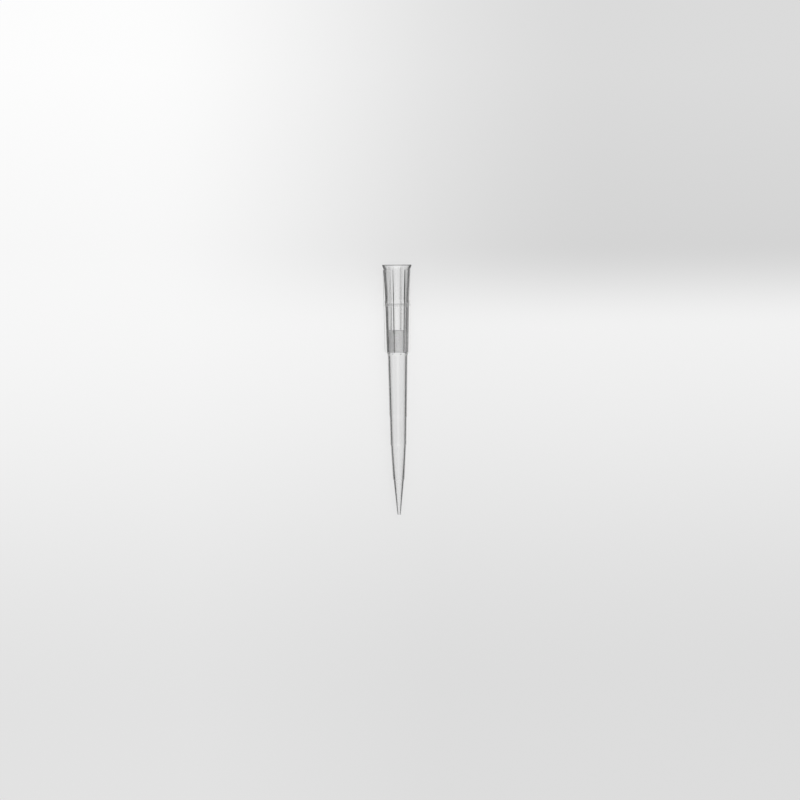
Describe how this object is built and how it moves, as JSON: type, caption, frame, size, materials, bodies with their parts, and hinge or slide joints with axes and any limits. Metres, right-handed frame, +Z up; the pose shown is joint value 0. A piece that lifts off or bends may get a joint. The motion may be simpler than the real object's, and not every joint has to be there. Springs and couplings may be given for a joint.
{
  "type": "filter pipette tip",
  "caption": "Clear ribbed pipette tip with a flared mouth, a snap ring and a porous filter plug, tapering in steps to a fine orifice; it lies on its side.",
  "frame": {"origin": "on the surface that the tip lies on, below the middle of the tip's length", "axes": "+Y towards the tip's mouth, +Z up from the surface, +X to the right with the mouth ahead"},
  "size_m": [0.007, 0.0591, 0.007],
  "materials": {
    "clear_polypropylene": "clear natural polypropylene, moulded and polished, with a faint haze",
    "porous_polyethylene": "sintered porous polyethylene, fine matt grain"
  },
  "bodies": {
    "root": {"tip_body": "clear_polypropylene", "filter_plug": "porous_polyethylene"}
  },
  "joints": []
}
